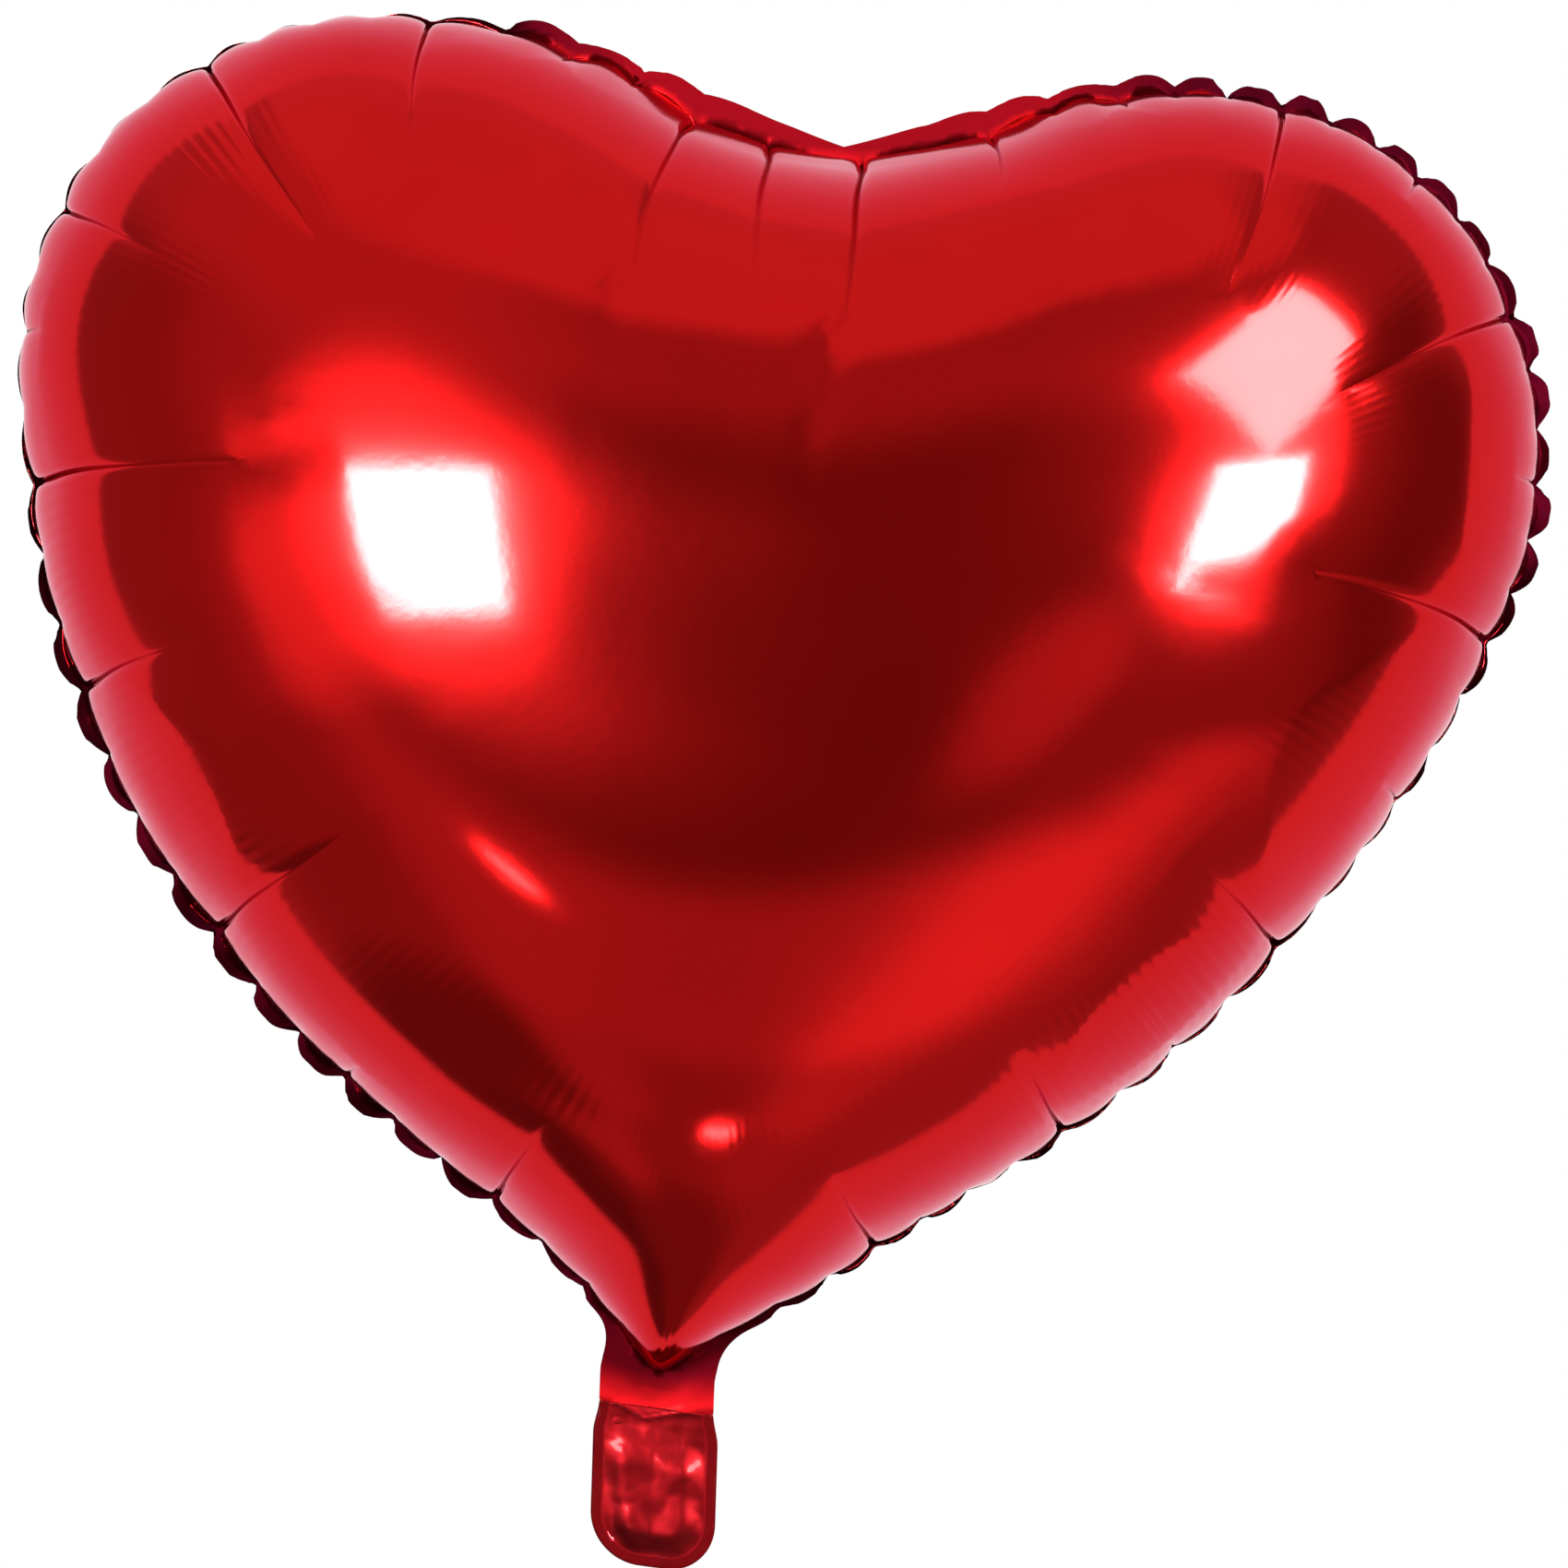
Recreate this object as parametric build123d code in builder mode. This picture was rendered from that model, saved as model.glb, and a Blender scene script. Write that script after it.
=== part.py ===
from build123d import *
import math
import os

# Heart-shaped foil balloon, blown up. +Z is up along the heart's axis, +X to the right, and the
# front faces -Y. The origin is the tie point, on the middle of the fold line at the neck.

# ---- Outer edge of the sealed flange, measured in the plane of the seam ----
LOBE_X = 99.6            # centre of each lobe's arc
LOBE_Z = 242.0
LOBE_RADIUS = 94.0
SIDE_RADIUS = 282.0      # long arc below each lobe, tangent to it
SIDE_START = -13.0       # degrees below the horizontal where the lobe hands over to the side
SIDE_END = -57.0         # and where the side runs straight towards the neck
CLEFT_Z = 311.5          # bottom of the taut V between the lobes
WEB_RADIUS = 12.0        # hollow curve that brings the flange into the neck

# ---- Inner edge of the heat seal, where the panels part and the chamber begins ----
SEAL_WIDTH = 5.5
SADDLE_RADIUS = 160.0    # hollow curve of the chamber under the V
CHAMBER_END = -54.0      # direction where the chamber's side runs straight to its tip
TIP_RADIUS = 4.0

# ---- Chamber depth and film ----
HALF_DEPTH = 92.0        # middle of each panel in front of the seam plane
DOME_Z = 190.0           # height of the dome's middle
FILM = 0.6               # each panel's film
SEALANT = 0.6            # fused sealant between the two flanges
RING_RATIOS = (1.0, 0.988, 0.96, 0.9, 0.8, 0.65, 0.45, 0.2)

# ---- Neck and tail ----
NECK_HALF_WIDTH = 14.5
TAIL_HALF_WIDTH = 15.8
FOLD_GAP = 1.0           # half of the free film at each fold line
TAIL_FOLD_Z = -24.0
TAIL_END_Z = -48.4
TAIL_CORNER = 12.5
TAIL_SEAL = 3.5
FILL_RADIUS = 4.0
FILL_Z = -14.0

# ---- Self-sealing valve: two clear films in the neck ----
CHANNEL_HALF_WIDTH = 8.0
CHANNEL_TOP_Z = 12.0
VALVE_HALF_WIDTH = 7.0
VALVE_FILM = 0.25
VALVE_GAP = 0.03         # half of the space between the two closed films
VALVE_HINGE_Z = 13.75
VALVE_TOP_Z = 64.0
VALVE_CLEARANCE = 0.25
INLET_TOP_Z = -1.5
INLET_BOTTOM_Z = -8.5


def direction(degrees):
    return math.cos(math.radians(degrees)), math.sin(math.radians(degrees))


SIDE_OFFSET = SIDE_RADIUS - LOBE_RADIUS
SIDE_X = LOBE_X - SIDE_OFFSET * direction(SIDE_START)[0]
SIDE_Z = LOBE_Z - SIDE_OFFSET * direction(SIDE_START)[1]


def mylar_height(ratio):
    """Height of a blown-up film disc over its rim, as a share of its radius, at this share of it."""
    steps = 80
    limit = math.acos(ratio**2)
    angles = [(i + 0.5) * limit / steps for i in range(steps)]
    return sum(math.sqrt(math.cos(angle)) for angle in angles) * limit / steps / 2


def dome_height(ratio):
    return HALF_DEPTH * mylar_height(ratio) / mylar_height(0)


def chamber_outline(ratio):
    """The chamber's edge in the seam plane, drawn at a ratio about the dome's middle."""

    def at(x, z):
        return x * ratio, DOME_Z + (z - DOME_Z) * ratio

    lobe = LOBE_RADIUS - SEAL_WIDTH
    side = SIDE_RADIUS - SEAL_WIDTH
    rise = math.sqrt((lobe + SADDLE_RADIUS) ** 2 - LOBE_X**2)
    lean = math.degrees(math.atan2(LOBE_X, rise))
    out_x, out_z = direction(CHAMBER_END)
    end_x = SIDE_X + side * out_x
    end_z = SIDE_Z + side * out_z
    tip_z = end_z + end_x * out_x / out_z
    with BuildSketch() as outline:
        with BuildLine():
            CenterArc(at(0, LOBE_Z + rise), SADDLE_RADIUS * ratio, -90, lean)
            CenterArc(at(LOBE_X, LOBE_Z), lobe * ratio, 90 + lean, SIDE_START - 90 - lean)
            CenterArc(at(SIDE_X, SIDE_Z), side * ratio, SIDE_START, CHAMBER_END - SIDE_START)
            Line(at(end_x, end_z), at(0, tip_z))
            mirror(about=Plane.YZ)
        make_face()
        fillet(vertices().sort_by(Axis.Y)[0], TIP_RADIUS * ratio)
    return outline.sketch


def flange_outline():
    """The outer edge of both panels, from the taut V at the cleft down to the neck."""
    reach = math.hypot(LOBE_X, CLEFT_Z - LOBE_Z)
    slope = math.asin(LOBE_RADIUS / reach) - math.atan2(CLEFT_Z - LOBE_Z, LOBE_X)
    taut = math.sqrt(reach**2 - LOBE_RADIUS**2)
    lean = math.degrees(slope)
    out_x, out_z = direction(SIDE_END)
    end_x = SIDE_X + SIDE_RADIUS * out_x
    end_z = SIDE_Z + SIDE_RADIUS * out_z
    web_x = NECK_HALF_WIDTH + WEB_RADIUS
    web_z = end_z + (WEB_RADIUS - (web_x - end_x) * out_x) / out_z
    foot = (web_x - WEB_RADIUS * out_x, web_z - WEB_RADIUS * out_z)
    web_end = 180 - math.degrees(math.asin((FOLD_GAP - web_z) / WEB_RADIUS))
    neck_x = web_x + WEB_RADIUS * direction(web_end)[0]
    with BuildSketch() as outline:
        with BuildLine():
            Line((0, CLEFT_Z), (taut * math.cos(slope), CLEFT_Z + taut * math.sin(slope)))
            CenterArc((LOBE_X, LOBE_Z), LOBE_RADIUS, 90 + lean, SIDE_START - 90 - lean)
            CenterArc((SIDE_X, SIDE_Z), SIDE_RADIUS, SIDE_START, SIDE_END - SIDE_START)
            Line((end_x, end_z), foot)
            CenterArc((web_x, web_z), WEB_RADIUS, SIDE_END + 180, web_end - SIDE_END - 180)
            Line((neck_x, FOLD_GAP), (0, FOLD_GAP))
            mirror(about=Plane.YZ)
        make_face()
    return outline.sketch


def strip(half_width, low, high):
    """A flat strip of film centred on the heart's axis."""
    with BuildSketch() as outline:
        with Locations((0, (low + high) / 2)):
            Rectangle(2 * half_width, high - low)
    return outline.sketch


def tail_end(half_width, low, high):
    """The tail's last stretch, square at the fold line and rounded at its end."""
    with BuildSketch() as outline:
        add(strip(half_width, low, high))
        fillet(vertices().group_by(Axis.Y)[0], TAIL_CORNER - TAIL_HALF_WIDTH + half_width)
    return outline.sketch


def seam_plane(side, distance):
    """A plane parallel to the seam, that distance out on the front (1) or the back (-1)."""
    return Plane.XZ.offset(side * distance)


def finish(piece, name):
    piece.part.label = name
    export_step(piece.part, f"parts/{name}.step")


def build_layer(name, side, near, thickness, outline):
    """A flat piece of this outline in the seam's direction, from near outwards by its thickness."""
    with BuildPart() as layer:
        with BuildSketch(seam_plane(side, near)):
            add(outline)
        extrude(amount=side * thickness)
    finish(layer, name)


def build_panel(name, side):
    """One foil panel: its flat flange and the dome blown out of it, in a single film."""
    near = SEALANT / 2
    inner = 1 - FILM / (LOBE_X + LOBE_RADIUS)
    with BuildPart() as panel:
        for ratio in RING_RATIOS:
            with BuildSketch(seam_plane(side, near + dome_height(ratio))):
                add(chamber_outline(ratio))
        loft()
        with BuildSketch(seam_plane(side, near)):
            add(flange_outline())
        extrude(amount=side * FILM)
        for ratio in RING_RATIOS:
            depth = dome_height(ratio) * (1 - FILM / HALF_DEPTH)
            with BuildSketch(seam_plane(side, near + depth)):
                add(chamber_outline(ratio * inner))
        loft(mode=Mode.SUBTRACT)
    finish(panel, name)


def weld_band():
    """The band of sealant between the flanges, open at the neck for the valve."""
    with BuildSketch() as outline:
        add(flange_outline())
        add(chamber_outline(1.0), mode=Mode.SUBTRACT)
        add(strip(CHANNEL_HALF_WIDTH, 0, CHANNEL_TOP_Z), mode=Mode.SUBTRACT)
    return outline.sketch


def tail_with_inlet():
    """The back layer of the upper tail, with the round hole that the balloon is filled through."""
    with BuildSketch() as outline:
        add(UPPER_TAIL)
        with Locations((0, FILL_Z)):
            Circle(FILL_RADIUS, mode=Mode.SUBTRACT)
    return outline.sketch


def side_welds():
    """The two long seals at the upper tail's sides."""
    with BuildSketch() as outline:
        add(UPPER_TAIL)
        add(strip(TAIL_HALF_WIDTH - TAIL_SEAL, TAIL_FOLD_Z, 0), mode=Mode.SUBTRACT)
    return outline.sketch


def end_weld():
    """The U-shaped seal that closes the tail's sides and its end."""
    with BuildSketch() as outline:
        add(LOWER_TAIL)
        add(tail_end(TAIL_HALF_WIDTH - TAIL_SEAL, TAIL_END_Z + TAIL_SEAL, 0), mode=Mode.SUBTRACT)
    return outline.sketch


UPPER_TAIL = strip(TAIL_HALF_WIDTH, TAIL_FOLD_Z + FOLD_GAP, -FOLD_GAP)
LOWER_TAIL = tail_end(TAIL_HALF_WIDTH, TAIL_END_Z, TAIL_FOLD_Z - FOLD_GAP)
VALVE_ROOT = strip(VALVE_HALF_WIDTH, FOLD_GAP + VALVE_CLEARANCE, VALVE_HINGE_Z - VALVE_CLEARANCE)
VALVE_FLAP = strip(VALVE_HALF_WIDTH, VALVE_HINGE_Z + VALVE_CLEARANCE, VALVE_TOP_Z)
VALVE_INLET = strip(VALVE_HALF_WIDTH, INLET_BOTTOM_Z, INLET_TOP_Z)

os.makedirs("parts", exist_ok=True)

for place, side in (("front", 1), ("back", -1)):
    build_panel(f"{place}_panel", side)
    build_layer(f"{place}_valve_root_film", side, VALVE_GAP, VALVE_FILM, VALVE_ROOT)
    build_layer(f"{place}_valve_flap_film", side, VALVE_GAP, VALVE_FILM, VALVE_FLAP)
    build_layer(f"{place}_valve_inlet_film", side, VALVE_GAP, VALVE_FILM, VALVE_INLET)
    build_layer(f"tail_end_{place}_layer", side, SEALANT / 2, FILM, LOWER_TAIL)

build_layer("tail_front_layer", 1, SEALANT / 2, FILM, UPPER_TAIL)
build_layer("tail_back_layer", -1, SEALANT / 2, FILM, tail_with_inlet())
build_layer("perimeter_weld", 1, -SEALANT / 2, SEALANT, weld_band())
build_layer("tail_side_welds", 1, -SEALANT / 2, SEALANT, side_welds())
build_layer("tail_end_weld", 1, -SEALANT / 2, SEALANT, end_weld())
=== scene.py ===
"""Heart-shaped foil balloon: the looks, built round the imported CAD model.

Both foil panels are one sheet each, blown up from the seam line. A smooth film surface is worked
out first, then the pleats, scallops and ripples that the seam forces on it are laid into it.
Lengths are in millimetres until a mesh is made; the stage is in metres.
"""
import math
import bpy
import numpy as np
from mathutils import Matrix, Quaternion, Vector
from mathutils.geometry import delaunay_2d_cdt
from mathutils.kdtree import KDTree


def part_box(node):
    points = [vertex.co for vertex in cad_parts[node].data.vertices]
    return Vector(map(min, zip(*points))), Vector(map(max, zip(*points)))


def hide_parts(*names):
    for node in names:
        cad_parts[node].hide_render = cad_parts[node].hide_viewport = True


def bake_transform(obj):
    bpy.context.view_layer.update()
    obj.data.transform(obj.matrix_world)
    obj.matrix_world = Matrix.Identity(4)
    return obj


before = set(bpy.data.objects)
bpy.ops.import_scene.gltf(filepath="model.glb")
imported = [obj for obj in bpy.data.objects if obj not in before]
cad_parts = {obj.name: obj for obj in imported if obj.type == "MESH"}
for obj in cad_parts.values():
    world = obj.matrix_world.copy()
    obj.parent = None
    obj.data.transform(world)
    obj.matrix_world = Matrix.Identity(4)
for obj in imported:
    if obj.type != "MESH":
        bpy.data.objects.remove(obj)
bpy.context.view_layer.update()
MM = 0.001
rng = np.random.default_rng(7)

# ---------------------------------------------------------------- sizes from the frame
panel_high = np.array(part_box("front_panel")[1]) / MM
tail_low, tail_high = (np.array(corner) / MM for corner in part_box("tail_end_front_layer"))
HALF_WIDTH = panel_high[0]
HALF_DEPTH = 92.0
SEAL_WIDTH = 5.5
LOBE_X = 99.6
LOBE_RADIUS = HALF_WIDTH - LOBE_X
LOBE_Z = panel_high[2] - LOBE_RADIUS
SIDE_RADIUS, SIDE_START, SIDE_END = 282.0, -13.0, -57.0
CLEFT_Z = 311.5
WEB_RADIUS = 12.0
NECK_HALF_WIDTH = 14.5
SADDLE_RADIUS = 160.0
CHAMBER_END = -54.0
TIP_RADIUS = 4.0
NECK_END_Z = -8.5
TAIL_END_Z = tail_low[2]
TAIL_HALF_WIDTH = tail_high[0]
TAIL_TOP_Z = -8.3
TAIL_CORNER = 12.5
TAIL_SEAL = 3.5
FILL_Z = -14.0
FILL_RADIUS = 4.0
VALVE_HALF_WIDTH = 7.0
FOIL_THICKNESS = 0.08
LAYER_GAP = 0.2
BAND_HALF = 0.1
FILM_HALF = 0.03
FILM_SQUEEZE = 0.5

# ---------------------------------------------------------------- mesh steps
COLUMN_STEP = 0.86
PLEAT_STEP = 0.32
PLEAT_BAND = 3.0
COUNT_STEP = 0.05        # spacing at which the columns are counted out
FIRST_ROW, ROW_GROWTH, ROW_STEP = 0.6, 1.25, 2.0
RIM_DEPTH = 96.0
FLANGE_STEP = 1.3
MIDDLE_STEP = 4.0
OUTLINE_STEP, FILM_EDGE_STEP = 1.0, 0.8
TAIL_OUTLINE_STEP, TAIL_STEP, TAIL_SEAL_STEP = 0.9, 0.8, 0.9
VALVE_COLUMNS, VALVE_ROW_STEP = 15, 1.2


# ================================================================ outlines in the seam plane
def arc(x, z, radius, start, end, step=0.5):
    count = max(3, int(abs(math.radians(end - start)) * radius / step) + 1)
    angle = np.radians(np.linspace(start, end, count))
    return np.c_[x + radius * np.cos(angle), z + radius * np.sin(angle)]


def direction(degrees):
    return np.array([math.cos(math.radians(degrees)), math.sin(math.radians(degrees))])


SIDE_CENTRE = np.array([LOBE_X, LOBE_Z]) - (SIDE_RADIUS - LOBE_RADIUS) * direction(SIDE_START)


def weld_half():
    """Inner edge of the heat seal from the saddle to the tip, right half."""
    lobe = LOBE_RADIUS - SEAL_WIDTH
    side = SIDE_RADIUS - SEAL_WIDTH
    rise = math.sqrt((lobe + SADDLE_RADIUS) ** 2 - LOBE_X**2)
    lean = math.degrees(math.atan2(LOBE_X, rise))
    out = direction(CHAMBER_END)
    end = SIDE_CENTRE + side * out
    tip = end[1] + end[0] * out[0] / out[1] - TIP_RADIUS / out[1]
    return np.vstack([
        arc(0, LOBE_Z + rise, SADDLE_RADIUS, -90, -90 + lean),
        arc(LOBE_X, LOBE_Z, lobe, 90 + lean, SIDE_START)[1:],
        arc(*SIDE_CENTRE, side, SIDE_START, CHAMBER_END)[1:],
        arc(0, tip, TIP_RADIUS, CHAMBER_END, -90),
    ])


def flange_half():
    """Outer edge of the flange from the cleft to the end of the neck, right half."""
    reach = math.hypot(LOBE_X, CLEFT_Z - LOBE_Z)
    lean = math.degrees(math.asin(LOBE_RADIUS / reach) - math.atan2(CLEFT_Z - LOBE_Z, LOBE_X))
    out = direction(SIDE_END)
    end = SIDE_CENTRE + SIDE_RADIUS * out
    web_x = NECK_HALF_WIDTH + WEB_RADIUS
    web_z = end[1] + (WEB_RADIUS - (web_x - end[0]) * out[0]) / out[1]
    return np.vstack([
        [[0, CLEFT_Z]],
        arc(LOBE_X, LOBE_Z, LOBE_RADIUS, 90 + lean, SIDE_START),
        arc(*SIDE_CENTRE, SIDE_RADIUS, SIDE_START, SIDE_END)[1:],
        arc(web_x, web_z, WEB_RADIUS, SIDE_END + 180, 180),
        [[NECK_HALF_WIDTH, NECK_END_Z], [0, NECK_END_Z]],
    ])


def spaced(line, step):
    """The line's points at an even spacing."""
    along = np.r_[0, np.cumsum(np.linalg.norm(np.diff(line, axis=0), axis=1))]
    at = np.linspace(0, along[-1], int(round(along[-1] / step)) + 1)
    return np.c_[np.interp(at, along, line[:, 0]), np.interp(at, along, line[:, 1])]


def whole(half):
    """The closed outline, clockwise from the middle of the top, without a repeated point."""
    return np.vstack([half, (half[::-1] * [-1, 1])[1:-1]])


# ================================================================ the smooth blown-up film
class Film:
    """Height of the blown-up film over the seam plane.

    A soap-film height with the seam as its edge (a plain bowl plus a harmonic polynomial fitted
    to it) is turned into the rounder height that a film that can't stretch takes.
    """
    ROUND_RISE = 0.599     # height of a round blown-up film, as a share of its radius
    CENTRE = complex(0, 185.0)
    SCALE = 200.0
    DEGREE = 44

    def __init__(self, edge):
        z = self.plane(edge)
        powers = z[:, None] ** np.arange(self.DEGREE + 1)
        fit, *_ = np.linalg.lstsq(np.c_[powers.real, -powers.imag], np.abs(z) ** 2, rcond=1e-10)
        self.terms = fit[:self.DEGREE + 1] + 1j * fit[self.DEGREE + 1:]
        self.top = 1.0
        # from near the middle, uphill to the bowl's highest point
        peak = np.array([[0.0, 190.0]])
        for _ in range(200):
            peak = peak + 0.3 * self.SCALE**2 * self.bowl(peak)[1]
        self.top = self.bowl(peak)[0][0]
        turn = np.linspace(0, math.pi / 2, 4001)
        rise = np.cumsum(np.sqrt(np.cos((turn[1:] + turn[:-1]) / 2)))
        self.share = 1 - np.cos(turn)
        self.height_at = np.r_[0, rise / rise[-1]]

    def plane(self, p):
        return (p[:, 0] + 1j * p[:, 1] - self.CENTRE) / self.SCALE

    def bowl(self, p):
        z = self.plane(p)
        powers = z[:, None] ** np.arange(self.DEGREE + 1)
        slope = powers[:, :-1] @ (self.terms[1:] * np.arange(1, self.DEGREE + 1))
        height = ((powers @ self.terms).real - np.abs(z) ** 2) / self.top
        gradient = np.c_[slope.real - 2 * z.real, -slope.imag - 2 * z.imag]
        return height, gradient / self.SCALE / self.top

    def height(self, p):
        bowl = np.clip(self.bowl(p)[0], 0, 1)
        return HALF_DEPTH * np.interp(bowl, self.share, self.height_at)

    def climb(self, p, step):
        """The points one step of film length further up the slope."""
        bowl, gradient = self.bowl(p)
        steep = np.linalg.norm(gradient, axis=1) + 1e-9
        r = np.sqrt(np.clip(1 - bowl, 1e-6, 1))
        rate = r / np.sqrt(np.clip(1 - r**4, 1e-4, None)) / 2 / self.ROUND_RISE * HALF_DEPTH * steep
        return p + gradient / steep[:, None] * (step / np.sqrt(1 + rate**2))[:, None]


# ================================================================ pleats, scallops and ripples
# Places run along the seam from the middle of the cleft (0) to the tip (1) on the right side, and
# back up the left side as minus values. Each pleat: place, length along the film, depth.
PLEATS = (
    (0.009, 150, 1.7), (0.066, 62, 1.0), (0.128, 30, 0.6), (0.203, 95, 1.6), (0.275, 36, 1.1),
    (0.350, 92, 1.8), (0.423, 34, 0.9), (0.494, 112, 2.0), (0.575, 38, 0.9), (0.659, 84, 1.9),
    (0.725, 30, 0.8), (0.789, 72, 1.8), (0.893, 64, 1.7),
    (-0.895, 70, 1.8), (-0.815, 34, 0.9), (-0.730, 96, 1.9), (-0.606, 80, 1.8), (-0.509, 120, 2.0),
    (-0.440, 30, 0.8), (-0.381, 66, 1.6), (-0.288, 98, 1.8), (-0.187, 82, 1.8), (-0.125, 30, 0.6),
    (-0.065, 120, 1.5), (-0.032, 100, 1.0),
)
LONG_PLEAT = 25          # a pleat longer than this is a long one
# Long and short pleats: sideways wander, width of the soft dip, depth of the sharp line, strength of the
# painted shade along it.
WANDER, DIP_WIDTH, LINE_DEPTH, LINE_SHADE = (0.25, 0.8), (8.5, 3.2), (1.7, 0.45), (0.85, 0.35)
# A long pleat's sharp line fades over a length, and a broad soft hollow lies along it.
LINE_FADE, HOLLOW, HOLLOW_WIDTH = 45, 0.7, 19
# Each facet: the places of the two pleats it joins, film length from the seam to its fold at the
# ends and what the middle adds, and its height.
FACETS = (
    (0.494, 0.659, 50, 34, 1.7), (0.350, 0.494, 46, 12, 0.8), (0.659, 0.789, 48, 24, 1.0),
    (-0.730, -0.606, 46, 22, 1.4),
)
FACET_RIM = 0.62         # share of the way to its fold over which a facet stays flat
FACET_FALL = 22          # how far in beyond its fold a facet dies away
SCALLOP = 15.5           # usual length of a scallop along the seam
# how far scallops stand out and to the back, and the share of the first that is taken off again
SCALLOP_OUT, SCALLOP_BACK, SCALLOP_SET = 2.1, 0.55, 0.55
SHORT_PLEAT = 11.0       # usual length of the small pleats between scallops
# swells over the seal: how far, how far along the seam from the cleft, and how wide
CLEFT_SWELL, CLEFT_SWELL_AT, CLEFT_SWELL_WIDTH = 4.0, 56, 22
TIP_SWELL, TIP_SWELL_WIDTH = 3.4, 17
# how far into the film each of these dies away
SCALLOP_FADE, BACK_FADE, CLEFT_FADE, TIP_FADE = 7.5, 5, 22, 14
RIPPLE = 3.9             # distance from one fine gather to the next
RIPPLE_HEIGHT = 0.062


class Seam:
    """The seam's own coordinate: pleats sit on whole numbers, with scallops evenly between."""

    def __init__(self, length):
        self.length = length
        places = sorted((p % 2.0) * length / 2 for p, _, _ in PLEATS)
        self.main = np.array(places)
        gaps = np.diff(np.r_[places, places[0] + length])
        self.counts = np.maximum(1, np.round(gaps / SCALLOP)).astype(int)
        self.knots = np.r_[places, places[0] + length]
        self.turns = np.r_[0, np.cumsum(self.counts)]
        total = self.turns[-1]
        self.bump = rng.uniform(0.65, 1.25, total)
        self.lift = rng.uniform(0.35, 1.0, total) * np.where(rng.random(total) < 0.5, -1, 1)
        self.pucker = rng.uniform(0.4, 1.3, total)
        order = sorted((p % 2.0, size, depth) for p, size, depth in PLEATS)
        self.reach = np.full(total, SHORT_PLEAT) * rng.uniform(0.7, 1.6, total)
        self.depth = rng.uniform(0.35, 0.75, total)
        self.lean = rng.uniform(-0.06, 0.06, total)
        self.fold = rng.uniform(-1, 1, total)
        for turn, (_, size, depth) in zip(self.turns, order):
            self.reach[turn] = size
            self.depth[turn] = depth
            self.lean[turn] *= 0.5

    def columns(self):
        """Places along the seam for the mesh columns, closer together at the long pleats."""
        fine = np.arange(0, self.length, COUNT_STEP)
        gaps = (fine[:, None] - self.main[None, :] + self.length / 2) % self.length - self.length / 2
        coarse = smooth(np.abs(gaps).min(1), PLEAT_BAND * 0.5, PLEAT_BAND * 1.5)
        rate = 1 / (PLEAT_STEP + (COLUMN_STEP - PLEAT_STEP) * coarse)
        total = np.r_[0, np.cumsum(rate * COUNT_STEP)]
        count = int(total[-1])
        return np.interp(np.arange(count) * total[-1] / count, total, np.r_[fine, self.length])

    def phase(self, s):
        s = (s - self.knots[0]) % self.length + self.knots[0]
        return np.interp(s, self.knots, self.turns)


def smooth(x, low, high):
    t = np.clip((x - low) / (high - low), 0, 1)
    return t * t * (3 - 2 * t)


def waviness(seam, s, tip, cleft):
    """0 near the tip and the cleft, rising to 1 between two distances along the seam from each."""
    return smooth(np.abs(s - seam.length / 2), *tip) * smooth(np.minimum(s, seam.length - s), *cleft)


def seam_shift(seam, s):
    """How far the scalloped seam stands outwards in its plane and towards the back."""
    phase = seam.phase(s)
    index = phase.astype(int) % len(seam.bump)
    t = phase - np.floor(phase)
    hump = np.sin(math.pi * t)
    out = SCALLOP_OUT * seam.bump[index] * (hump - SCALLOP_SET)
    back = SCALLOP_BACK * seam.lift[index] * hump**1.5
    wavy = waviness(seam, s, (12, 34), (8, 60))
    return out * wavy, back * wavy


def cleft_swell(seam, s):
    """How far the film swells out over the seal on both flanks of the cleft."""
    away = np.minimum(s, seam.length - s)
    return CLEFT_SWELL * np.exp(-(((away - CLEFT_SWELL_AT) / CLEFT_SWELL_WIDTH) ** 2))


def tip_swell(seam, s):
    """How far the film hangs down over the seal at the tip."""
    return TIP_SWELL * np.exp(-(((s - seam.length / 2) / TIP_SWELL_WIDTH) ** 2))


def facet_ridge(seam, s, deep):
    """Soft folds in the film from the inner end of one long pleat to the next, flat towards the rim."""
    share = s / seam.length * 2
    ridge = np.zeros_like(s)
    for start, end, ends, more, height in FACETS:
        t = np.clip(((share - start) % 2) / (end - start), 0, 1)
        hump = np.sin(math.pi * t)
        line = ends + more * hump
        rise = np.clip((deep - FACET_RIM * line) / (line - FACET_RIM * line), 0, 1) ** 1.5
        fall = np.exp(-np.clip(deep - line, 0, None) / FACET_FALL)
        ridge += height * hump * rise * fall
    return ridge


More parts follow.
